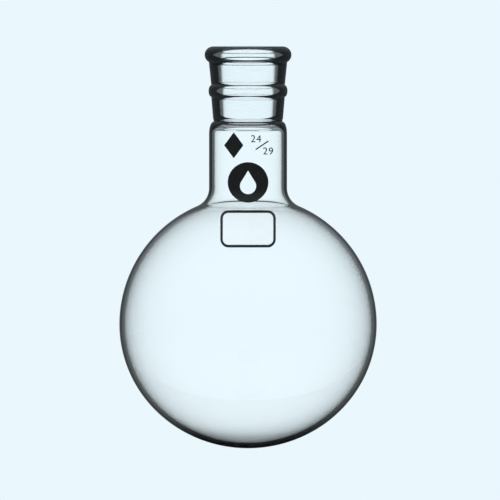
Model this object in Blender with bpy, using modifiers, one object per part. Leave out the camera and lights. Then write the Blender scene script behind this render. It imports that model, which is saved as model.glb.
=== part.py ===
"""Round-bottom flask, 500 ml, with a ground conical socket (24/29) on its neck.

The glass is two pieces fused end to end: the blown body (bulb and neck) and the ground socket.
The marks are thin enamel layers fired onto the front of the glass, each one a piece of its own.

Frame: metres, +Z up along the flask's axis, origin at the lowest point of the bulb. The marks face -Y.
"""

import math

import bmesh
import bpy

# Blown body
BULB_DIAMETER = 0.105
BULB_DEPTH = 0.0506  # from the bulb's widest line down to its lowest point: it is a little flattened
BULB_WALL = 0.0020
NECK_DIAMETER = 0.0318
NECK_WALL = 0.0020
NECK_FILLET = 0.0080  # outside radius where the neck runs into the bulb
NECK_STRAIGHT = 0.0221  # plain cylinder from that fillet up to the shoulder
SHOULDER_HEIGHT = 0.0049  # outside, from the cylinder up to the seam
SHOULDER_HEIGHT_INSIDE = 0.0032
SHOULDER_LIP = 0.0014  # glass left over the shoulder's inside, under the seam

# Ground socket: 24 mm bore at the wide end, 29 mm ground length, taper 1 in 10 on diameter
JOINT_BORE = 0.0240
JOINT_LENGTH = 0.0290
JOINT_TAPER = 0.10
JOINT_RUNOUT = 0.0010  # unground bore below the ground zone
SOCKET_WALL = 0.00365  # at the seam
SOCKET_TAPER = 0.13  # outside, on diameter: the wall grows a little towards the mouth
MOUTH_CHAMFER = 0.0008
RIM_BEAD_HEIGHT = 0.0069
RIM_BEAD_RISE = 0.00175  # how far the bead stands out from the socket's wall
RIM_ROUNDING = 0.0036  # from the edge of the flat rim out to the bead's widest line
RING_BEAD_HEIGHT = 0.0047
RING_BEAD_RISE = 0.0011
RING_BEAD_DROP = 0.0182  # from the rim down to the middle of the ring bead

# Fired enamel marks, from the badge at the foot of the neck up and down
MARK_GAP = 0.0003  # clearance between the glass and a mark
MARK_THICKNESS = 0.0003
BADGE_DIAMETER = 0.0165
BADGE_RISE = 0.0023  # from the fillet's upper end up to the badge's middle
DROP_WIDTH = 0.0066  # the clear drop shape inside the badge
DROP_HEIGHT = 0.0096
FIELD_WIDTH = 0.0226
FIELD_HEIGHT = 0.0151
FIELD_CORNER = 0.0033
FIELD_LINE = 0.0010  # width of the border line
FIELD_SPACING = 0.0032  # from the badge down to the writing field
NECK_MARK_SPACING = 0.0016  # from the badge up to the lozenge
LOZENGE_WIDTH = 0.0078
LOZENGE_HEIGHT = 0.0106
LOZENGE_LEFT = 0.0058  # from the axis to the lozenge's middle
DIGIT_HEIGHT = 0.0029
DIGIT_PITCH = 0.0023
SIZE_MARK_RIGHT = 0.0057  # from the axis to the middle of the slash
SIZE_MARK_STEP = 0.0025  # each number stands this far above or below the slash
SIZE_MARK_SHIFT = 0.00245  # and this far to its left or right
SLASH_LENGTH = 0.0062
SLASH_WIDTH = 0.0005
SLASH_TILT = 34.0  # degrees above level

# Meshing
SEAM_GAP = 0.0003  # clearance between the two glass pieces
TURN_STEPS = 48
LOWER_BULB_STEPS = 12
UPPER_BULB_STEPS = 9
FILLET_STEPS = 5
SHOULDER_STEPS = 4
BEAD_STEPS = 7
SKIN_END = 60.0  # degrees round the shoulder, past which no mark reaches
CIRCLE_STEPS = 40
CORNER_STEPS = 5
GLYPH_RESOLUTION = 2
WELD = 0.000001
MERGE = 0.00001

BULB_RADIUS = BULB_DIAMETER / 2
NECK_RADIUS = NECK_DIAMETER / 2


def fillet_centre(bulb_radius, neck_radius, fillet_radius):
    """(r, z) of the centre of the fillet that touches the bulb's upper half and the neck's cylinder."""
    r = neck_radius + fillet_radius
    return r, BULB_DEPTH + math.sqrt((bulb_radius + fillet_radius) ** 2 - r**2)


FILLET_TOP = fillet_centre(BULB_RADIUS, NECK_RADIUS, NECK_FILLET)[1]
SEAM_Z = FILLET_TOP + NECK_STRAIGHT + SHOULDER_HEIGHT
GROUND_BOTTOM = SEAM_Z + JOINT_RUNOUT
GROUND_TOP = GROUND_BOTTOM + JOINT_LENGTH
RIM_Z = GROUND_TOP + MOUTH_CHAMFER
SMALL_BORE_RADIUS = (JOINT_BORE - JOINT_TAPER * JOINT_LENGTH) / 2
SOCKET_FOOT_RADIUS = SMALL_BORE_RADIUS + SOCKET_WALL
NECK_BORE_RADIUS = NECK_RADIUS - NECK_WALL

BADGE_Z = FILLET_TOP + BADGE_RISE
FIELD_Z = BADGE_Z - BADGE_DIAMETER / 2 - FIELD_SPACING - FIELD_HEIGHT / 2
NECK_MARK_Z = BADGE_Z + BADGE_DIAMETER / 2 + NECK_MARK_SPACING + LOZENGE_HEIGHT / 2


def clear_scene():
    """Empties the scene of what Blender starts with."""
    for obj in list(bpy.data.objects):
        bpy.data.objects.remove(obj)


def new_collection(name):
    """A collection linked to the scene."""
    collection = bpy.data.collections.new(name)
    bpy.context.scene.collection.children.link(collection)
    return collection


def material(name, colour, roughness, transmission=0.0):
    """A plain Principled material."""
    made = bpy.data.materials.new(name)
    made.use_nodes = True
    made.diffuse_color = (*colour, 1.0)
    shader = made.node_tree.nodes["Principled BSDF"]
    shader.inputs["Base Color"].default_value = (*colour, 1.0)
    shader.inputs["Roughness"].default_value = roughness
    shader.inputs["Metallic"].default_value = 0.0
    shader.inputs["Transmission Weight"].default_value = transmission
    return made


def arc(centre, radii, start, end, steps):
    """Points (r, z) along part of an ellipse, angles in degrees from +r towards +z."""
    points = []
    for step in range(steps + 1):
        angle = math.radians(start + (end - start) * step / steps)
        points.append((centre[0] + radii[0] * math.cos(angle), centre[1] + radii[1] * math.sin(angle)))
    return points


def bulb_surface(offset, neck_radius, fillet_radius):
    """Profile up the bulb from its lowest point, and round the fillet to the neck's wall.

    The bulb is moved out by offset. Its lower half is an ellipsoid and its upper half a sphere.
    """
    bulb_radius = BULB_RADIUS + offset
    middle = (0.0, BULB_DEPTH)
    centre = fillet_centre(bulb_radius, neck_radius, fillet_radius)
    touch = math.degrees(math.atan2(centre[1] - BULB_DEPTH, centre[0]))
    lower = arc(middle, (bulb_radius, BULB_DEPTH + offset), -90.0, 0.0, LOWER_BULB_STEPS)
    upper = arc(middle, (bulb_radius, bulb_radius), 0.0, touch, UPPER_BULB_STEPS)
    fillet = arc(centre, (fillet_radius, fillet_radius), 180.0 + touch, 180.0, FILLET_STEPS)
    lower[0] = (0.0, lower[0][1])
    return lower + upper[1:] + fillet[1:]


def outer_surface(offset, shoulder_end):
    """Profile of the body's outside, moved out by offset, up to the angle shoulder_end on the shoulder."""
    bulb = bulb_surface(offset, NECK_RADIUS + offset, NECK_FILLET - offset)
    middle = (SOCKET_FOOT_RADIUS, SEAM_Z - SHOULDER_HEIGHT)
    radii = (NECK_RADIUS - SOCKET_FOOT_RADIUS + offset, SHOULDER_HEIGHT + offset)
    return bulb + arc(middle, radii, 0.0, shoulder_end, SHOULDER_STEPS)


def inner_surface():
    """Profile of the body's inside, up to the seam."""
    bulb = bulb_surface(-BULB_WALL, NECK_BORE_RADIUS, NECK_FILLET + BULB_WALL)
    middle = (SMALL_BORE_RADIUS, SEAM_Z - SHOULDER_LIP - SHOULDER_HEIGHT_INSIDE)
    radii = (NECK_BORE_RADIUS - SMALL_BORE_RADIUS, SHOULDER_HEIGHT_INSIDE)
    shoulder = arc(middle, radii, 0.0, 90.0, SHOULDER_STEPS)
    return bulb + shoulder + [(SMALL_BORE_RADIUS, SEAM_Z)]


def body_profile():
    """The blown body: up its inside from the lowest point, over its end and down its outside."""
    return inner_surface() + outer_surface(0.0, 90.0)[::-1]


def wall_radius(z):
    """Outside radius of the socket's tapered wall at height z."""
    return SOCKET_FOOT_RADIUS + (z - SEAM_Z) * SOCKET_TAPER / 2


def rim_bead():
    """The rolled bead at the mouth, from the flat rim round to the socket's wall."""
    middle = RIM_Z - RIM_BEAD_HEIGHT / 2
    widest = wall_radius(middle) + RIM_BEAD_RISE
    centre = (widest - RIM_ROUNDING, middle)
    meets_wall = math.degrees(math.acos((RIM_ROUNDING - RIM_BEAD_RISE) / RIM_ROUNDING))
    return arc(centre, (RIM_ROUNDING, RIM_BEAD_HEIGHT / 2), 90.0, -meets_wall, BEAD_STEPS)


def ring_bead():
    """The low bead half way down the socket's wall."""
    middle = RIM_Z - RING_BEAD_DROP
    radii = (RING_BEAD_RISE, RING_BEAD_HEIGHT / 2)
    return arc((wall_radius(middle), middle), radii, 90.0, -90.0, BEAD_STEPS)


def socket_profile():
    """The ground socket: up its bore, over the rim and down its outside, as a closed loop."""
    foot = SEAM_Z + SEAM_GAP
    bore = [
        (SMALL_BORE_RADIUS, foot),
        (SMALL_BORE_RADIUS, GROUND_BOTTOM),
        (JOINT_BORE / 2, GROUND_TOP),
        (JOINT_BORE / 2 + MOUTH_CHAMFER, RIM_Z),
    ]
    return bore + rim_bead() + ring_bead() + [(SOCKET_FOOT_RADIUS, foot)]


def mark_skin_profile():
    """A thin layer just clear of the body's outside, from the bulb's middle up, as a closed loop."""
    near = outer_surface(MARK_GAP, SKIN_END)[LOWER_BULB_STEPS:]
    far = outer_surface(MARK_GAP + MARK_THICKNESS, SKIN_END)[LOWER_BULB_STEPS:]
    return near + far[::-1]


def profile_mesh(name, points, closed):
    """A mesh of edges in the XZ plane that a Screw modifier turns about Z."""
    mesh = bpy.data.meshes.new(name)
    edges = [(i, i + 1) for i in range(len(points) - 1)]
    if closed:
        edges.append((len(points) - 1, 0))
    mesh.from_pydata([(r, 0.0, z) for r, z in points], edges, [])
    return mesh


def turned(name, mesh, finish, collection):
    """An object that turns a profile a full circle about Z."""
    obj = bpy.data.objects.new(name, mesh)
    collection.objects.link(obj)
    screw = obj.modifiers.new("Turn", "SCREW")
    screw.steps = TURN_STEPS
    screw.render_steps = TURN_STEPS
    screw.use_merge_vertices = True
    screw.merge_threshold = MERGE
    screw.use_smooth_shade = True
    if not mesh.materials:
        mesh.materials.append(finish)
    return obj


def solid_from(source, collection):
    """A mesh object with the shape of a curve or text object, its caps welded. The source is removed."""
    bpy.context.view_layer.update()
    evaluated = source.evaluated_get(bpy.context.evaluated_depsgraph_get())
    mesh = bpy.data.meshes.new_from_object(evaluated)
    shape = bmesh.new()
    shape.from_mesh(mesh)
    bmesh.ops.remove_doubles(shape, verts=shape.verts, dist=WELD)
    bmesh.ops.recalc_face_normals(shape, faces=shape.faces)
    shape.to_mesh(mesh)
    shape.free()
    solid = bpy.data.objects.new(source.name + "_solid", mesh)
    solid.matrix_world = source.matrix_world
    collection.objects.link(solid)
    bpy.data.objects.remove(source)
    return solid


def stand_in_front(obj, centre):
    """Turns a flat outline to face -Y, from outside the bulb to the axis, with its middle at (x, z)."""
    obj.data.extrude = BULB_RADIUS / 2 + MARK_GAP + MARK_THICKNESS
    obj.rotation_euler = (math.radians(90.0), 0.0, 0.0)
    obj.location = (centre[0], -obj.data.extrude, centre[1])


def outline_cutter(name, outlines, centre, collection):
    """A straight prism along Y. The first outline is its edge, and the others are holes in it."""
    curve = bpy.data.curves.new(name, "CURVE")
    curve.dimensions = "2D"
    curve.fill_mode = "BOTH"
    for points in outlines:
        spline = curve.splines.new("POLY")
        spline.points.add(len(points) - 1)
        for point, (x, y) in zip(spline.points, points):
            point.co = (x, y, 0.0, 1.0)
        spline.use_cyclic_u = True
    source = bpy.data.objects.new(name, curve)
    collection.objects.link(source)
    stand_in_front(source, centre)
    return as_cutter(solid_from(source, collection))


def glyph_cutter(name, character, centre, collection):
    """A straight prism along Y in the shape of one character."""
    text = bpy.data.curves.new(name, "FONT")
    text.body = character
    text.resolution_u = GLYPH_RESOLUTION
    text.align_x = "CENTER"
    text.align_y = "CENTER"
    text.size = 1.0
    source = bpy.data.objects.new(name, text)
    collection.objects.link(source)
    bpy.context.view_layer.update()
    text.size = DIGIT_HEIGHT / source.dimensions.y
    stand_in_front(source, centre)
    return as_cutter(solid_from(source, collection))


def as_cutter(obj):
    """Keeps a helper out of the model."""
    obj.hide_render = True
    obj.display_type = "WIRE"
    return obj


def rounded_rectangle(width, height, corner):
    """Outline about (0, 0), anticlockwise."""
    x, y = width / 2 - corner, height / 2 - corner
    points = []
    for centre, start in (((x, y), 0.0), ((-x, y), 90.0), ((-x, -y), 180.0), ((x, -y), 270.0)):
        points += arc(centre, (corner, corner), start, start + 90.0, CORNER_STEPS)
    return points


def circle(diameter):
    """Outline about (0, 0)."""
    return arc((0.0, 0.0), (diameter / 2, diameter / 2), 0.0, 360.0, CIRCLE_STEPS)[:-1]


def drop(width, height):
    """Outline of a falling drop about (0, 0): a round belly with straight flanks up to its point."""
    radius = width / 2
    belly = radius - height / 2
    flank = math.degrees(math.asin(radius / (height - radius)))
    return arc((0.0, belly), (radius, radius), 180.0 - flank, 360.0 + flank, CIRCLE_STEPS // 2) + [
        (0.0, height / 2)
    ]


def lozenge(width, height):
    """Outline of an upright diamond about (0, 0)."""
    return [(width / 2, 0.0), (0.0, height / 2), (-width / 2, 0.0), (0.0, -height / 2)]


def bar(length, width, tilt):
    """Outline of a straight stroke about (0, 0), tilted by degrees."""
    along, across = math.cos(math.radians(tilt)), math.sin(math.radians(tilt))
    corners = [(length / 2, width / 2), (-length / 2, width / 2), (-length / 2, -width / 2), (length / 2, -width / 2)]
    return [(x * along - y * across, x * across + y * along) for x, y in corners]


def mark(name, skin, cutter, finish, collection):
    """One enamel mark: the part of the skin inside the cutter."""
    obj = turned(name, skin.copy(), finish, collection)
    cut = obj.modifiers.new("Outline", "BOOLEAN")
    cut.operation = "INTERSECT"
    cut.solver = "EXACT"
    cut.object = cutter
    return obj


def build_glass(collection):
    """The two glass pieces."""
    clear = material("clear_glass", (0.90, 0.96, 0.97), 0.02, transmission=1.0)
    turned("flask_body", profile_mesh("flask_body", body_profile(), closed=False), clear, collection)
    turned(
        "ground_joint_socket",
        profile_mesh("ground_joint_socket", socket_profile(), closed=True),
        clear,
        collection,
    )


def build_writing_field(skin, white, ink, collection, cutters):
    """The writing spot on the bulb's shoulder and the line printed round it."""
    centre = (0.0, FIELD_Z)
    inset = 2 * FIELD_LINE
    opening = rounded_rectangle(FIELD_WIDTH - inset, FIELD_HEIGHT - inset, FIELD_CORNER - FIELD_LINE)
    border = [rounded_rectangle(FIELD_WIDTH, FIELD_HEIGHT, FIELD_CORNER), opening]
    inset += 2 * MARK_GAP
    spot = rounded_rectangle(
        FIELD_WIDTH - inset, FIELD_HEIGHT - inset, FIELD_CORNER - FIELD_LINE - MARK_GAP
    )
    mark("writing_field", skin, outline_cutter("spot_outline", [spot], centre, cutters), white, collection)
    mark(
        "writing_field_border",
        skin,
        outline_cutter("border_outline", border, centre, cutters),
        ink,
        collection,
    )


def build_neck_marks(skin, ink, collection, cutters):
    """The round badge and the lozenge."""
    badge = outline_cutter(
        "badge_outline",
        [circle(BADGE_DIAMETER), drop(DROP_WIDTH, DROP_HEIGHT)],
        (0.0, BADGE_Z),
        cutters,
    )
    diamond = outline_cutter(
        "lozenge_outline",
        [lozenge(LOZENGE_WIDTH, LOZENGE_HEIGHT)],
        (-LOZENGE_LEFT, NECK_MARK_Z),
        cutters,
    )
    mark("round_badge", skin, badge, ink, collection)
    mark("lozenge_mark", skin, diamond, ink, collection)


def build_size_mark(skin, ink, collection, cutters):
    """The joint's size: bore over length, as small numbers on either side of a slash."""
    x, z = SIZE_MARK_RIGHT, NECK_MARK_Z
    slash = outline_cutter("slash_outline", [bar(SLASH_LENGTH, SLASH_WIDTH, SLASH_TILT)], (x, z), cutters)
    mark("size_slash", skin, slash, ink, collection)
    bore_mm = round(JOINT_BORE * 1000)
    length_mm = round(JOINT_LENGTH * 1000)
    for label, number, side in (("bore", bore_mm, 1), ("length", length_mm, -1)):
        digits = str(number)
        for place, digit in enumerate(digits):
            across = (place - (len(digits) - 1) / 2) * DIGIT_PITCH
            centre = (x - side * SIZE_MARK_SHIFT + across, z + side * SIZE_MARK_STEP)
            name = f"size_{label}_digit_{place + 1}"
            cutter = glyph_cutter(name + "_outline", digit, centre, cutters)
            mark(name, skin, cutter, ink, collection)


def main():
    clear_scene()
    flask = new_collection("Round bottom flask")
    cutters = new_collection("Cutters")
    white = material("white_enamel", (0.90, 0.92, 0.93), 0.65)
    ink = material("dark_enamel", (0.02, 0.02, 0.025), 0.35)
    skin = profile_mesh("mark_skin", mark_skin_profile(), closed=True)
    build_glass(flask)
    build_writing_field(skin, white, ink, flask, cutters)
    build_neck_marks(skin, ink, flask, cutters)
    build_size_mark(skin, ink, flask, cutters)
    bpy.data.meshes.remove(skin)


main()
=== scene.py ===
"""The looks of a round-bottom flask: clear borosilicate glass, a ground socket and fired enamel marks.

Metres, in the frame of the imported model: +Z up along the flask's axis, its lowest point at the origin and
its marks facing -Y. The two glass nodes become one piece of glass, fused at the shoulder as the real one
is, and each printed mark becomes a thin layer of enamel that lies on the glass.
"""

import math

import bpy
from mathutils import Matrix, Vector


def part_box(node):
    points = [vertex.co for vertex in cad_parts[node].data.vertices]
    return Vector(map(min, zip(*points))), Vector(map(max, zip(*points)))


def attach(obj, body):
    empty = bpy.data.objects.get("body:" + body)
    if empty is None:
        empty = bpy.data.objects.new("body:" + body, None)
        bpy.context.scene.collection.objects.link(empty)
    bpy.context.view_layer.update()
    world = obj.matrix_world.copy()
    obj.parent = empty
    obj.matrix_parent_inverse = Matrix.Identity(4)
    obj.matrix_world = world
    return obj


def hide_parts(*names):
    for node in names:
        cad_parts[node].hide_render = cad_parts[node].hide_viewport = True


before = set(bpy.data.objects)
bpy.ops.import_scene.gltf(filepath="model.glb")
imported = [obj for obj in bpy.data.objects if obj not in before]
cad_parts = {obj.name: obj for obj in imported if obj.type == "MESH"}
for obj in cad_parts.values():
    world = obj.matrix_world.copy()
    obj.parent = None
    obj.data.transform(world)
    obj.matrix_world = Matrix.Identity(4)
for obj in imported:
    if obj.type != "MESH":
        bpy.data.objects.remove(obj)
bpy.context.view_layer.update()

UPRIGHT = math.pi / 2  # a turn about X that stands a flat outline up, and levels the camera

# Glass. The frame gives the bulb's width, the seam and the rim.
BODY_LOW, BODY_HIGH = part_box("flask_body")
_, SOCKET_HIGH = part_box("ground_joint_socket")
BULB_RADIUS = (BODY_HIGH.x - BODY_LOW.x) / 2
BULB_MIDDLE = 0.0506  # height of the bulb's widest line: its lower half is a little flattened
BULB_WALL = 0.0020
NECK_RADIUS = 0.0159
NECK_WALL = 0.0020
NECK_FILLET = 0.0080  # outside radius where the neck runs into the bulb
SEAM = BODY_HIGH.z  # where the socket is fused onto the shoulder
SHOULDER_HEIGHT = 0.0049
SHOULDER_HEIGHT_INSIDE = 0.0032
SHOULDER_LIP = 0.0014
WELD_MARK_HEIGHT = 0.0011  # the faint groove left where the socket was fused on
WELD_MARK_DEPTH = 0.0002
RIM = SOCKET_HIGH.z
GROUND_LENGTH = 0.0290
GROUND_BOTTOM = SEAM + 0.0010
GROUND_TOP = GROUND_BOTTOM + GROUND_LENGTH
MOUTH_RADIUS = 0.0120
GROUND_TAPER = 0.05  # on radius: 1 in 10 on diameter
MOUTH_ROUNDING = 0.0008
SOCKET_FOOT = 0.0142  # outside radius at the seam
SOCKET_TAPER = 0.065
RIM_BEAD_HEIGHT = 0.0069
RIM_BEAD_RISE = 0.00175
RIM_ROUNDING = 0.0036
RING_BEAD_HEIGHT = 0.0047
RING_BEAD_RISE = 0.0011
RING_BEAD_DROP = 0.0182  # from the rim down to the middle of the ring bead

# How finely the glass is drawn
TURN_STEPS = 192
BULB_STEPS = 48
BEND_STEPS = 12
RING_BEAD_STEPS = 14
RIM_BEAD_STEPS = 28
STRAIGHT_STEPS = 6
BORE_STEPS = 24
RUNOUT_STEPS = 2
MERGE_REACH = 0.000001
GROUND_REACH = 0.0002  # how far off the bore a face may lie and still be ground
GLASS_IOR = 1.473

# Where the painted dark edge shade on the glass starts, by how far its surface turns from the eye: 0 head
# on, 1 along it
BULB_EDGE = 0.75
NECK_EDGE = 0.56
SOCKET_EDGE = 0.36
NECK_FOOT = 0.107  # height where the neck's own width starts
BEAD_EDGE = 1.2  # how much sooner it starts on the level sides of the beads
EDGE_BLEND = 0.08  # how softly it starts
# painted shade: the colour the glass's edges are darkened to
PAINTED_EDGE_SHADE_COLOUR = (0.004, 0.005, 0.006)

# Enamel
ENAMEL_GAP = 0.00001  # between a print's back and the glass
ENAMEL_THICKNESS = 0.0001
ENAMEL_GRID = 0.0005  # how finely a print is cut to follow the glass
ENAMEL_SMOOTH = 40.0  # degrees: the rim of a print stays a crisp edge
FIELD_LINE = 0.0010
FIELD_CORNER = 0.0033
FIELD_CORNER_STEPS = 8
FIELD_CLEARANCE = 0.0001
DROP_WIDTH = 0.0066  # the clear drop in the badge
DROP_HEIGHT = 0.0096
DROP_STEPS = 48
BADGE_STEPS = 96
SLASH_LENGTH = 0.0062
SLASH_WIDTH = 0.0005
SLASH_TILT = 34.0  # degrees above level
DIGIT_RESOLUTION = 6

# Studio
PALE_BLUE = (0.823, 0.930, 0.982)
CAMERA_SIDE = 0.0008
CAMERA_HEIGHT = 0.0809
CAMERA_DISTANCE = 1.0
CAMERA_REACH = 10.0
VIEW_WIDTH = 0.204
PANEL_FULL = 22.0  # degrees from its middle where a panel is at its brightest
PANEL_END = 34.0
PANEL_BRIGHTNESS = 1.17
GAP_BRIGHTNESS = 0.12
CEILING_START = 50.0  # degrees above the horizon
CEILING_FULL = 60.0
CEILING_BRIGHTNESS = 1.0
LOW_START = 6.0  # degrees below the horizon
LOW_FULL = 12.0
BESIDE_START = 32.0  # degrees from the middle of the nearest panel
BESIDE_FULL = 40.0
LOW_BRIGHTNESS = 1.15  # also the floor's, seen through the glass
ROOM_DARK = 0.13  # what the glass mirrors
ROOM_TOP = 0.5
KEY_PLACE = (-1.0, -2.4, 1.8)  # the soft light in front
KEY_WIDTH = 1.2
KEY_HEIGHT = 1.6
KEY_POWER = 23.0
TOP_HEIGHT = 2.0
TOP_SPREAD = 90.0  # degrees
TOP_POWER = 1.3
FLOOR_WHITE = 0.6
FLOOR_GLOW = 0.37
FLOOR_RADIUS = 4.0
DISC_RADIUS = 0.7
FLOOR_STEPS = 96


def radius_inside(z):
    """Radius of the ground bore at a height."""
    return MOUTH_RADIUS - (GROUND_TOP - z) * GROUND_TAPER


def radius_outside(z):
    """Radius of the socket's outside at a height."""
    return SOCKET_FOOT + (z - SEAM) * SOCKET_TAPER


def arc(centre, radii, start, end, steps):
    """Points (r, z) along part of an ellipse, angles in degrees from +r towards +z."""
    points = []
    for step in range(steps + 1):
        angle = math.radians(start + (end - start) * step / steps)
        points.append((centre[0] + radii[0] * math.cos(angle), centre[1] + radii[1] * math.sin(angle)))
    return points


def straight(start, end, steps):
    """Points (r, z) along a straight line."""
    return [
        (start[0] + (end[0] - start[0]) * step / steps, start[1] + (end[1] - start[1]) * step / steps)
        for step in range(steps + 1)
    ]


def bulb_line(bulb_radius, depth, neck_radius, fillet):
    """The bulb from its lowest point up, and round the fillet into the neck."""
    reach = neck_radius + fillet
    centre = (reach, BULB_MIDDLE + math.sqrt((bulb_radius + fillet) ** 2 - reach**2))
    touch = math.degrees(math.atan2(centre[1] - BULB_MIDDLE, centre[0]))
    middle = (0.0, BULB_MIDDLE)
    lower = arc(middle, (bulb_radius, depth), -90.0, 0.0, BULB_STEPS)
    upper = arc(middle, (bulb_radius, bulb_radius), 0.0, touch, BULB_STEPS)
    bend = arc(centre, (fillet, fillet), 180.0 + touch, 180.0, BEND_STEPS)
    lower[0] = (0.0, lower[0][1])
    return lower + upper[1:] + bend[1:]


def outside_line():
    """The outside from the bulb's lowest point up to the flat of the rim."""
    bulb = bulb_line(BULB_RADIUS, BULB_MIDDLE, NECK_RADIUS, NECK_FILLET)
    shoulder_foot = SEAM - SHOULDER_HEIGHT
    neck = straight(bulb[-1], (NECK_RADIUS, shoulder_foot), STRAIGHT_STEPS)
    shoulder = arc(
        (SOCKET_FOOT, shoulder_foot), (NECK_RADIUS - SOCKET_FOOT, SHOULDER_HEIGHT), 0.0, 90.0, BEND_STEPS
    )
    ring_middle = RIM - RING_BEAD_DROP
    ring_start = (radius_outside(ring_middle), ring_middle)
    ring = arc(ring_start, (RING_BEAD_RISE, RING_BEAD_HEIGHT / 2), -90.0, 90.0, RING_BEAD_STEPS)
    rim_middle = RIM - RIM_BEAD_HEIGHT / 2
    widest = radius_outside(rim_middle) + RIM_BEAD_RISE
    meets_wall = math.degrees(math.acos((RIM_ROUNDING - RIM_BEAD_RISE) / RIM_ROUNDING))
    bead_middle = (widest - RIM_ROUNDING, rim_middle)
    bead = arc(bead_middle, (RIM_ROUNDING, RIM_BEAD_HEIGHT / 2), -meets_wall, 90.0, RIM_BEAD_STEPS)
    mark_middle = SEAM + WELD_MARK_HEIGHT / 2
    mark_start = (radius_outside(mark_middle), mark_middle)
    mark = arc(mark_start, (-WELD_MARK_DEPTH, WELD_MARK_HEIGHT / 2), -90.0, 90.0, BEND_STEPS)
    foot = straight(mark[-1], ring[0], STRAIGHT_STEPS)
    waist = straight(ring[-1], bead[0], STRAIGHT_STEPS)
    return bulb + neck[1:] + shoulder[1:] + mark[1:] + foot[1:] + ring[1:] + waist[1:] + bead[1:]


def inside_line():
    """The inside from the bulb's lowest point up the bore to the flat of the rim."""
    neck_inside = NECK_RADIUS - NECK_WALL
    bulb = bulb_line(BULB_RADIUS - BULB_WALL, BULB_MIDDLE - BULB_WALL, neck_inside, NECK_FILLET + BULB_WALL)
    small = radius_inside(GROUND_BOTTOM)
    shoulder_foot = SEAM - SHOULDER_LIP - SHOULDER_HEIGHT_INSIDE
    neck = straight(bulb[-1], (neck_inside, shoulder_foot), STRAIGHT_STEPS)
    shoulder_reach = (neck_inside - small, SHOULDER_HEIGHT_INSIDE)
    shoulder = arc((small, shoulder_foot), shoulder_reach, 0.0, 90.0, BEND_STEPS)
    runout = straight(shoulder[-1], (small, GROUND_BOTTOM), RUNOUT_STEPS)
    bore = straight(runout[-1], (MOUTH_RADIUS, GROUND_TOP), BORE_STEPS)
    mouth_middle = (MOUTH_RADIUS + MOUTH_ROUNDING, GROUND_TOP)
    mouth = arc(mouth_middle, (MOUTH_ROUNDING, RIM - GROUND_TOP), 180.0, 90.0, BEND_STEPS)
    return bulb + neck[1:] + shoulder[1:] + runout[1:] + bore[1:] + mouth[1:]


def deselect_all():
    """Clears the selection, so that an operator acts on what is added next."""
    bpy.ops.object.select_all(action="DESELECT")


def draw_line(points):
    """A line of edges in the XZ plane, drawn by extruding a single vertex from point to point."""
    deselect_all()
    bpy.ops.mesh.primitive_plane_add(size=BULB_WALL, location=(0.0, 0.0, 0.0))
    bpy.ops.object.mode_set(mode="EDIT")
    bpy.ops.mesh.merge(type="CENTER")
    last = (0.0, 0.0)
    for r, z in points[1:]:
        step = (r - last[0], 0.0, z - last[1])
        bpy.ops.mesh.extrude_vertices_move(TRANSFORM_OT_translate={"value": step})
        last = (r, z)


def spin_glass():
    """Bulb, neck, shoulder and socket as one closed wall of glass."""
    draw_line(outside_line() + inside_line()[::-1])
    bpy.ops.mesh.select_all(action="SELECT")
    bpy.ops.mesh.spin(steps=TURN_STEPS, angle=math.tau, center=(0.0, 0.0, 0.0), axis=(0.0, 0.0, 1.0))
    bpy.ops.mesh.select_all(action="SELECT")
    bpy.ops.mesh.remove_doubles(threshold=MERGE_REACH)
    bpy.ops.mesh.normals_make_consistent(inside=False)
    bpy.ops.object.mode_set(mode="OBJECT")
    bpy.ops.object.shade_smooth()
    glass = bpy.context.object
    glass.name = "flask_glass"
    glass.data.name = glass.name
    return glass


def is_ground(centre):
    """True on the ground bore: inside the wall, between the ends of the ground zone."""
    distance = math.hypot(centre.x, centre.y)
    return GROUND_BOTTOM < centre.z < GROUND_TOP and distance < radius_inside(centre.z) + GROUND_REACH


def new_material(name):
    """A material with one Principled shader, and the nodes it is built from."""
    made = bpy.data.materials.new(name)
    made.use_nodes = True
    return made, made.node_tree, made.node_tree.nodes["Principled BSDF"]


def add_node(tree, kind, **settings):
    """A node with some of its properties or inputs set."""
    node = tree.nodes.new(kind)
    for name, value in settings.items():
        if name in node.inputs:
            node.inputs[name].default_value = value
        else:
            setattr(node, name, value)
    return node


def stretched(tree, scale):
    """Object coordinates, stretched by a Mapping node."""
    place = add_node(tree, "ShaderNodeTexCoord")
    mapping = add_node(tree, "ShaderNodeMapping", Scale=scale)
    tree.links.new(place.outputs["Object"], mapping.inputs["Vector"])
    return mapping.outputs["Vector"]


def noise(tree, scale, size, detail=2.0):
    """Noise on the object, size features to the metre, stretched by scale."""
    made = add_node(tree, "ShaderNodeTexNoise", Scale=size, Detail=detail)
    tree.links.new(stretched(tree, scale), made.inputs["Vector"])
    return made.outputs["Fac"]


def spread(tree, value, low, high):
    """Noise, spread over the range from low to high."""
    made = add_node(tree, "ShaderNodeMapRange")
    made.inputs["From Min"].default_value = 0.3
    made.inputs["From Max"].default_value = 0.7
    made.inputs["To Min"].default_value = low
    made.inputs["To Max"].default_value = high
    tree.links.new(value, made.inputs["Value"])
    return made.outputs["Result"]


def bump(tree, height, depth, strength=1.0, below=None):
    """Relief of a depth in metres, on top of another."""
    made = add_node(tree, "ShaderNodeBump", Strength=strength, Distance=depth)
    tree.links.new(height, made.inputs["Height"])
    if below is not None:
        tree.links.new(below, made.inputs["Normal"])
    return made.outputs["Normal"]


def between(tree, factor, first, second):
    """A colour that runs from the first to the second; each is a colour or another node's output."""
    made = add_node(tree, "ShaderNodeMix", data_type="RGBA")
    tree.links.new(factor, made.inputs["Factor"])
    ends = [socket for socket in made.inputs if socket.type == "RGBA"]
    for end, colour in zip(ends, (first, second)):
        if isinstance(colour, tuple):
            end.default_value = (*colour, 1.0)
        else:
            tree.links.new(colour, end)
    return [socket for socket in made.outputs if socket.type == "RGBA"][0]


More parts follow.
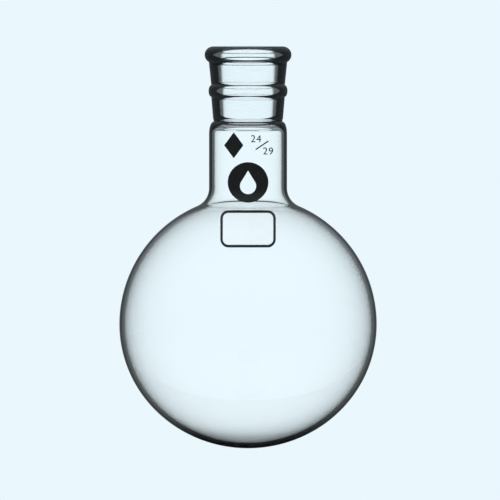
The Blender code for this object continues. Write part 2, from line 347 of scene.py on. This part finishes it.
def smooth_step(tree, value, full, none):
    """1 up to one value, 0 past another, and a soft edge between."""
    made = add_node(tree, "ShaderNodeMapRange", interpolation_type="SMOOTHSTEP")
    made.inputs["From Min"].default_value = full
    made.inputs["From Max"].default_value = none
    made.inputs["To Min"].default_value = 1.0
    made.inputs["To Max"].default_value = 0.0
    tree.links.new(value, made.inputs["Value"])
    return made.outputs["Result"]


def compute(tree, operation, *values):
    """A Math node on sockets or numbers."""
    made = add_node(tree, "ShaderNodeMath", operation=operation)
    for socket, value in zip(made.inputs, values):
        if isinstance(value, (int, float)):
            socket.default_value = value
        else:
            tree.links.new(value, socket)
    return made.outputs[0]


def blend(tree, factor, first, second):
    """A number that runs from the first to the second."""
    made = add_node(tree, "ShaderNodeMix", data_type="FLOAT")
    for socket, value in zip(made.inputs, (factor, None, first, second)):
        if isinstance(value, (int, float)):
            socket.default_value = value
        elif value is not None:
            tree.links.new(value, socket)
    return made.outputs["Result"]


def painted_edge_shade(tree, clear):
    """Painted shade: the glass's colour is darkened where its surface is seen edge on, a dark line painted
    round the bulb and a band where it is thick.
    """
    place = add_node(tree, "ShaderNodeTexCoord")
    split = add_node(tree, "ShaderNodeSeparateXYZ")
    tree.links.new(place.outputs["Object"], split.inputs["Vector"])
    neck = smooth_step(tree, split.outputs["Z"], NECK_FOOT, NECK_FOOT - NECK_RADIUS)
    socket = smooth_step(tree, split.outputs["Z"], SEAM, SEAM - SHOULDER_HEIGHT)
    start = compute(tree, "MULTIPLY_ADD", neck, NECK_EDGE - BULB_EDGE, BULB_EDGE)
    start = compute(tree, "MULTIPLY_ADD", socket, SOCKET_EDGE - NECK_EDGE, start)
    tilt = add_node(tree, "ShaderNodeSeparateXYZ")
    tree.links.new(place.outputs["Normal"], tilt.inputs["Vector"])
    level = compute(tree, "MULTIPLY", compute(tree, "ABSOLUTE", tilt.outputs["Z"]), socket)
    facing = add_node(tree, "ShaderNodeLayerWeight", Blend=0.5).outputs["Facing"]
    facing = compute(tree, "MULTIPLY", facing, compute(tree, "MULTIPLY_ADD", level, BEAD_EDGE, 1.0))
    past = compute(tree, "SUBTRACT", facing, start)
    return between(tree, smooth_step(tree, past, EDGE_BLEND, 0.0), clear, PAINTED_EDGE_SHADE_COLOUR)


def blown_glass(name, with_painted_edge_shade):
    """Clear borosilicate: flame-polished, with the faint waviness of hand work; where asked, a painted
    shade darkens its edges.
    """
    made, tree, shader = new_material(name)
    shader.inputs["Transmission Weight"].default_value = 1.0
    shader.inputs["IOR"].default_value = GLASS_IOR
    shader.inputs["Roughness"].default_value = 0.0
    clear = between(tree, noise(tree, (1, 1, 1), 18.0), (0.972, 0.990, 0.990), (0.984, 0.995, 0.994))
    tree.links.new(painted_edge_shade(tree, clear) if with_painted_edge_shade else clear, shader.inputs["Base Color"])
    waves = bump(tree, noise(tree, (1, 1, 0.6), 28.0, 1.0), 0.0004, 0.15)
    tree.links.new(waves, shader.inputs["Normal"])
    return made


def ground_glass():
    """The ground bore: fine frosting with the rings that the grinding cone leaves."""
    made, tree, shader = new_material("ground_borosilicate")
    shader.inputs["Transmission Weight"].default_value = 1.0
    shader.inputs["IOR"].default_value = GLASS_IOR
    rings = noise(tree, (0.12, 0.12, 1), 2600.0, 3.0)
    frost = spread(tree, rings, 0.0, 1.0)
    tint = between(tree, frost, (0.89, 0.925, 0.935), (0.99, 0.998, 0.998))
    tree.links.new(tint, shader.inputs["Base Color"])
    tree.links.new(spread(tree, rings, 0.07, 0.15), shader.inputs["Roughness"])
    relief = bump(tree, rings, 0.00002, 0.3)
    relief = bump(tree, noise(tree, (1, 1, 1), 5200.0), 0.00001, 0.3, relief)
    tree.links.new(relief, shader.inputs["Normal"])
    return made


def white_enamel():
    """Fired white ceramic, matt enough to take a pencil, a little worn and uneven."""
    made, tree, shader = new_material("white_writing_enamel")
    cloud = noise(tree, (1, 1, 1), 260.0, 4.0)
    shade = between(tree, cloud, (0.86, 0.89, 0.90), (0.94, 0.955, 0.96))
    tree.links.new(shade, shader.inputs["Base Color"])
    grain = noise(tree, (1, 1, 1), 6000.0, 3.0)
    tree.links.new(spread(tree, grain, 0.5, 0.75), shader.inputs["Roughness"])
    tree.links.new(bump(tree, grain, 0.00002, 0.4), shader.inputs["Normal"])
    return made


def dark_enamel():
    """Fired black ceramic ink: a soft gloss, with the grain of the screen it was printed through."""
    made, tree, shader = new_material("dark_print_enamel")
    cloud = noise(tree, (1, 1, 1), 400.0, 4.0)
    shade = between(tree, cloud, (0.004, 0.004, 0.005), (0.012, 0.012, 0.014))
    tree.links.new(shade, shader.inputs["Base Color"])
    grain = noise(tree, (1, 1, 1), 5200.0, 3.0)
    tree.links.new(spread(tree, grain, 0.28, 0.5), shader.inputs["Roughness"])
    tree.links.new(bump(tree, grain, 0.00002, 0.35), shader.inputs["Normal"])
    return made


def cut_grid(piece):
    """Cuts a flat outline into a fine grid that can follow the glass, its faces to the front."""
    low = [min(v.co[axis] for v in piece.data.vertices) for axis in range(3)]
    high = [max(v.co[axis] for v in piece.data.vertices) for axis in range(3)]
    bpy.ops.object.mode_set(mode="EDIT")
    for axis, normal in ((0, (1.0, 0.0, 0.0)), (2, (0.0, 0.0, 1.0))):
        place = low[axis] + ENAMEL_GRID
        while place < high[axis]:
            point = (place, 0.0, 0.0) if axis == 0 else (0.0, 0.0, place)
            bpy.ops.mesh.select_all(action="SELECT")
            bpy.ops.mesh.bisect(plane_co=point, plane_no=normal, threshold=MERGE_REACH)
            place += ENAMEL_GRID
    bpy.ops.mesh.select_all(action="SELECT")
    bpy.ops.mesh.remove_doubles(threshold=MERGE_REACH)
    bpy.ops.object.mode_set(mode="OBJECT")
    for face in piece.data.polygons:
        if face.normal.y > 0.0:
            face.flip()


def lay_on_glass(piece, glass):
    """Presses a flat outline onto the glass and makes it as thick as enamel."""
    bpy.context.view_layer.objects.active = piece
    cut_grid(piece)
    press = piece.modifiers.new("Press", "SHRINKWRAP")
    press.target = glass
    press.wrap_method = "PROJECT"
    press.wrap_mode = "ABOVE_SURFACE"
    press.use_project_y = True
    press.offset = ENAMEL_GAP
    layer = piece.modifiers.new("Layer", "SOLIDIFY")
    layer.thickness = ENAMEL_THICKNESS
    layer.offset = 1.0
    for modifier in (press, layer):
        bpy.ops.object.modifier_apply(modifier=modifier.name)
    bpy.ops.object.shade_smooth_by_angle(angle=math.radians(ENAMEL_SMOOTH))
    return piece


def settle(name):
    """Names the active object and applies its place."""
    piece = bpy.context.object
    piece.name = name
    piece.data.name = name
    bpy.ops.object.transform_apply(location=True, rotation=True, scale=True)
    return piece


def middle_of(node):
    """(x, z) of the middle of a mark, and its width and height."""
    low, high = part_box(node)
    return (low.x + high.x) / 2, (low.z + high.z) / 2, high.x - low.x, high.z - low.z


def flat_at(x, z):
    """Where a mark is drawn, in front of the glass."""
    return (x, -2 * BULB_RADIUS, z)


def rounded_plate(name, x, z, width, height, corner):
    """A flat plate with rounded corners, standing in the XZ plane."""
    deselect_all()
    bpy.ops.mesh.primitive_plane_add(size=1.0, location=flat_at(x, z), rotation=(UPRIGHT, 0.0, 0.0))
    bpy.context.object.scale = (width, height, 1.0)
    plate = settle(name)
    bpy.ops.object.mode_set(mode="EDIT")
    bpy.ops.mesh.select_all(action="SELECT")
    bpy.ops.mesh.bevel(offset=corner, offset_type="OFFSET", segments=FIELD_CORNER_STEPS, affect="VERTICES")
    bpy.ops.object.mode_set(mode="OBJECT")
    return plate


def writing_field(glass):
    """The patch of white enamel that takes a pencil."""
    x, z, width, height = middle_of("writing_field_border")
    inset = 2 * (FIELD_LINE + FIELD_CLEARANCE)
    corner = FIELD_CORNER - FIELD_LINE - FIELD_CLEARANCE
    plate = rounded_plate("writing_field_enamel", x, z, width - inset, height - inset, corner)
    return lay_on_glass(plate, glass)


def field_border(glass):
    """The dark line printed round the writing field."""
    x, z, width, height = middle_of("writing_field_border")
    plate = rounded_plate("writing_field_line", x, z, width, height, FIELD_CORNER)
    bpy.ops.object.mode_set(mode="EDIT")
    bpy.ops.mesh.select_all(action="SELECT")
    bpy.ops.mesh.inset(thickness=FIELD_LINE)
    bpy.ops.mesh.delete(type="FACE")
    bpy.ops.object.mode_set(mode="OBJECT")
    return lay_on_glass(plate, glass)


def select_points(piece, wanted):
    """Selects the points that pass a test, in edit mode."""
    bpy.ops.mesh.select_mode(type="VERT")
    bpy.ops.mesh.select_all(action="DESELECT")
    bpy.ops.object.mode_set(mode="OBJECT")
    found = [point for point in piece.data.vertices if wanted(point.co)]
    for point in found:
        point.select = True
    bpy.ops.object.mode_set(mode="EDIT")
    return [point.co.copy() for point in found]


def badge(glass):
    """A printed disc with a clear drop in it: a small circle whose top is drawn up to a point."""
    x, z, width, _ = middle_of("round_badge")
    belly = z + (DROP_WIDTH - DROP_HEIGHT) / 2
    tip = z + DROP_HEIGHT / 2
    flank = math.asin(DROP_WIDTH / 2 / (DROP_HEIGHT - DROP_WIDTH / 2))
    turned = (UPRIGHT, 0.0, 0.0)
    deselect_all()
    bpy.ops.mesh.primitive_circle_add(
        vertices=DROP_STEPS, radius=DROP_WIDTH / 2, location=flat_at(x, belly), rotation=turned
    )
    disc = settle("round_badge_print")
    bpy.ops.object.mode_set(mode="EDIT")
    shoulder = belly + DROP_WIDTH / 2 * math.sin(flank)
    top = select_points(disc, lambda point: point.z > shoulder)
    height = sum(point.z for point in top) / len(top)
    bpy.ops.mesh.merge(type="CENTER")
    bpy.ops.transform.translate(value=(0.0, 0.0, tip - height))
    bpy.ops.mesh.primitive_circle_add(
        vertices=BADGE_STEPS, radius=width / 2, location=flat_at(x, z), rotation=turned
    )
    bpy.ops.mesh.select_all(action="SELECT")
    bpy.ops.mesh.fill(use_beauty=True)
    bpy.ops.object.mode_set(mode="OBJECT")
    return lay_on_glass(disc, glass)


def lozenge(glass):
    """A plain upright diamond."""
    x, z, width, height = middle_of("lozenge_mark")
    deselect_all()
    bpy.ops.mesh.primitive_circle_add(
        vertices=4, radius=0.5, fill_type="NGON", location=flat_at(x, z), rotation=(UPRIGHT, 0.0, 0.0)
    )
    bpy.context.object.scale = (width, height, 1.0)
    diamond = settle("lozenge_print")
    return lay_on_glass(diamond, glass)


def slash(glass):
    """The stroke between the socket's two sizes."""
    x, z, _, _ = middle_of("size_slash")
    deselect_all()
    turned = (UPRIGHT, -math.radians(SLASH_TILT), 0.0)
    bpy.ops.mesh.primitive_plane_add(size=1.0, location=flat_at(x, z), rotation=turned)
    bpy.context.object.scale = (SLASH_LENGTH, SLASH_WIDTH, 1.0)
    stroke = settle("size_slash_print")
    return lay_on_glass(stroke, glass)


def digit(name, character, glass):
    """One numeral, as tall as its node."""
    x, z, _, height = middle_of(name)
    deselect_all()
    bpy.ops.object.text_add(location=(0.0, 0.0, 0.0))
    text = bpy.context.object
    text.data.body = character
    text.data.resolution_u = DIGIT_RESOLUTION
    bpy.ops.object.convert(target="MESH")
    numeral = bpy.context.object
    points = [point.co for point in numeral.data.vertices]
    low = Vector([min(point[axis] for point in points) for axis in range(3)])
    high = Vector([max(point[axis] for point in points) for axis in range(3)])
    size = height / (high.y - low.y)
    middle = (low + high) / 2 * size
    numeral.scale = (size, size, size)
    numeral.rotation_euler = (UPRIGHT, 0.0, 0.0)
    numeral.location = Vector(flat_at(x, z)) - Vector((middle.x, 0.0, middle.y))
    settle(name + "_print")
    return lay_on_glass(numeral, glass)


def finish_piece(piece, material, slot, *nodes):
    """Gives a piece its material and its place in the frame."""
    piece.data.materials.append(material)
    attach(piece, "root")
    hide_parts(*nodes)


def flask_glass():
    """The glass, with its three finishes."""
    glass = spin_glass()
    # the outside's glass carries the painted edge shade, the inside's stays clear
    outside = blown_glass("clear_borosilicate_outside", True)
    finish_piece(glass, outside, "clear_glass", "flask_body", "ground_joint_socket")
    glass.data.materials.append(blown_glass("clear_borosilicate_inside", False))
    glass.data.materials.append(ground_glass())
    outer, inner, ground = range(3)
    for face in glass.data.polygons:
        faces_inward = face.normal.xy.dot(face.center.xy) < 0.0
        face.material_index = inner if faces_inward else outer
        if is_ground(face.center):
            face.material_index = ground
    return glass


def build_flask():
    """The glass and its prints."""
    glass = flask_glass()
    white = white_enamel()
    ink = dark_enamel()
    finish_piece(writing_field(glass), white, "white_enamel", "writing_field")
    finish_piece(field_border(glass), ink, "dark_enamel", "writing_field_border")
    finish_piece(badge(glass), ink, "dark_enamel", "round_badge")
    finish_piece(lozenge(glass), ink, "dark_enamel", "lozenge_mark")
    finish_piece(slash(glass), ink, "dark_enamel", "size_slash")
    for label, number in (("bore", "24"), ("length", "29")):
        for place, character in enumerate(number, start=1):
            name = f"size_{label}_digit_{place}"
            finish_piece(digit(name, character, glass), ink, "dark_enamel", name)


def mirrored(tree):
    """1 for light that reaches the eye by way of a reflection."""
    path = add_node(tree, "ShaderNodeLightPath")
    return compute(tree, "GREATER_THAN", path.outputs["Glossy Depth"], 0.5)


def height_at(degrees):
    """How far up a direction points, at an angle above the horizon."""
    return math.sin(math.radians(degrees))


def panels_and_ceiling(tree, x, y, z):
    """What shows through the glass, by direction: a round soft panel behind each of the flask's sides, with
    the dark round it, a soft ceiling, and the pale of the floor low down between the panels."""
    nearest = compute(tree, "MAXIMUM", compute(tree, "ABSOLUTE", x), compute(tree, "ABSOLUTE", y))
    away = compute(tree, "ARCCOSINE", nearest)
    panel = smooth_step(tree, away, math.radians(PANEL_FULL), math.radians(PANEL_END))
    ceiling = smooth_step(tree, z, height_at(CEILING_FULL), height_at(CEILING_START))
    low = smooth_step(tree, z, -height_at(LOW_FULL), -height_at(LOW_START))
    beside = smooth_step(tree, away, math.radians(BESIDE_FULL), math.radians(BESIDE_START))
    parts = (
        (panel, PANEL_BRIGHTNESS - GAP_BRIGHTNESS),
        (ceiling, CEILING_BRIGHTNESS - GAP_BRIGHTNESS),
        (compute(tree, "MULTIPLY", low, beside), LOW_BRIGHTNESS - GAP_BRIGHTNESS),
    )
    light = GAP_BRIGHTNESS
    for part, brightness in parts:
        light = compute(tree, "ADD", light, compute(tree, "MULTIPLY", part, brightness))
    return light


def studio_light():
    """The light all round the flask. The glass mirrors a dim room that gets lighter overhead, as where only
    the background is lit, and the camera sees a plain pale blue."""
    world = bpy.data.worlds.new("studio")
    bpy.context.scene.world = world
    world.use_nodes = True
    tree = world.node_tree
    background = tree.nodes["Background"]
    place = add_node(tree, "ShaderNodeTexCoord")
    split = add_node(tree, "ShaderNodeSeparateXYZ")
    tree.links.new(place.outputs["Generated"], split.inputs["Vector"])
    x, y, z = (split.outputs[axis] for axis in "XYZ")
    light = panels_and_ceiling(tree, x, y, z)
    overhead = smooth_step(tree, z, 1.0, 0.0)
    room = compute(tree, "MULTIPLY_ADD", overhead, ROOM_TOP - ROOM_DARK, ROOM_DARK)
    light = blend(tree, mirrored(tree), light, room)
    light = blend(tree, add_node(tree, "ShaderNodeLightPath").outputs["Is Camera Ray"], light, 1.0)
    tree.links.new(light, background.inputs["Strength"])
    background.inputs["Color"].default_value = (*PALE_BLUE, 1.0)


def soft_light(name, kind, place, power, colour):
    """A light for the floor and the prints, which the glass doesn't mirror."""
    bpy.ops.object.light_add(type=kind, location=place)
    light = bpy.context.object
    light.name = name
    light.data.energy = power
    light.data.color = colour
    light.visible_glossy = False
    light.visible_transmission = False
    return light


def lights():
    """A large soft light in front, and an even one overhead."""
    key = soft_light("key", "AREA", KEY_PLACE, KEY_POWER, (1.0, 1.0, 1.0))
    key.data.shape = "RECTANGLE"
    key.data.size = KEY_WIDTH
    key.data.size_y = KEY_HEIGHT
    aim = Vector((0.0, 0.0, CAMERA_HEIGHT)) - Vector(KEY_PLACE)
    key.rotation_euler = aim.to_track_quat("-Z", "Y").to_euler()
    top = soft_light("top", "SUN", (0.0, 0.0, TOP_HEIGHT), TOP_POWER, PALE_BLUE)
    top.data.angle = math.radians(TOP_SPREAD)


def pale_floor():
    """A pale floor, lit a little from below to be as even as the wall behind, and dim where mirrored."""
    made, tree, shader = new_material("pale_floor")
    shader.inputs["Roughness"].default_value = 0.8
    shader.inputs["Specular IOR Level"].default_value = 0.0
    tree.links.new(blend(tree, mirrored(tree), FLOOR_WHITE, ROOM_DARK), shader.inputs["Base Color"])
    shader.inputs["Emission Color"].default_value = (*PALE_BLUE, 1.0)
    through = add_node(tree, "ShaderNodeLightPath").outputs["Is Transmission Ray"]
    glow = blend(tree, through, FLOOR_GLOW, FLOOR_GLOW + LOW_BRIGHTNESS - 1.0)
    tree.links.new(blend(tree, mirrored(tree), glow, 0.0), shader.inputs["Emission Strength"])
    return made


def floor():
    """A disc under the flask, and a wide ring round it that the glass doesn't bend or mirror."""
    finish = pale_floor()
    deselect_all()
    bpy.ops.mesh.primitive_circle_add(vertices=FLOOR_STEPS, radius=DISC_RADIUS, fill_type="NGON")
    disc = bpy.context.object
    disc.name = "floor_middle"
    deselect_all()
    bpy.ops.mesh.primitive_circle_add(vertices=FLOOR_STEPS, radius=DISC_RADIUS, fill_type="NOTHING")
    ring = bpy.context.object
    ring.name = "floor"
    wider = FLOOR_RADIUS / DISC_RADIUS
    bpy.ops.object.mode_set(mode="EDIT")
    bpy.ops.mesh.select_all(action="SELECT")
    bpy.ops.mesh.extrude_edges_move()
    bpy.ops.transform.resize(value=(wider, wider, 1.0))
    bpy.ops.mesh.select_all(action="SELECT")
    bpy.ops.mesh.normals_make_consistent(inside=False)
    bpy.ops.object.mode_set(mode="OBJECT")
    ring.visible_glossy = False
    ring.visible_transmission = False
    for ground in (disc, ring):
        ground.data.materials.append(finish)


def camera():
    """A level view, square to the marks, with no perspective."""
    bpy.ops.object.camera_add(
        location=(CAMERA_SIDE, -CAMERA_DISTANCE, CAMERA_HEIGHT), rotation=(UPRIGHT, 0.0, 0.0)
    )
    view = bpy.context.object
    view.name = "camera"
    view.data.type = "ORTHO"
    view.data.ortho_scale = VIEW_WIDTH
    view.data.clip_end = CAMERA_REACH
    bpy.context.scene.camera = view


deselect_all()
build_flask()
studio_light()
lights()
floor()
camera()
bpy.context.scene.view_settings.view_transform = "Standard"
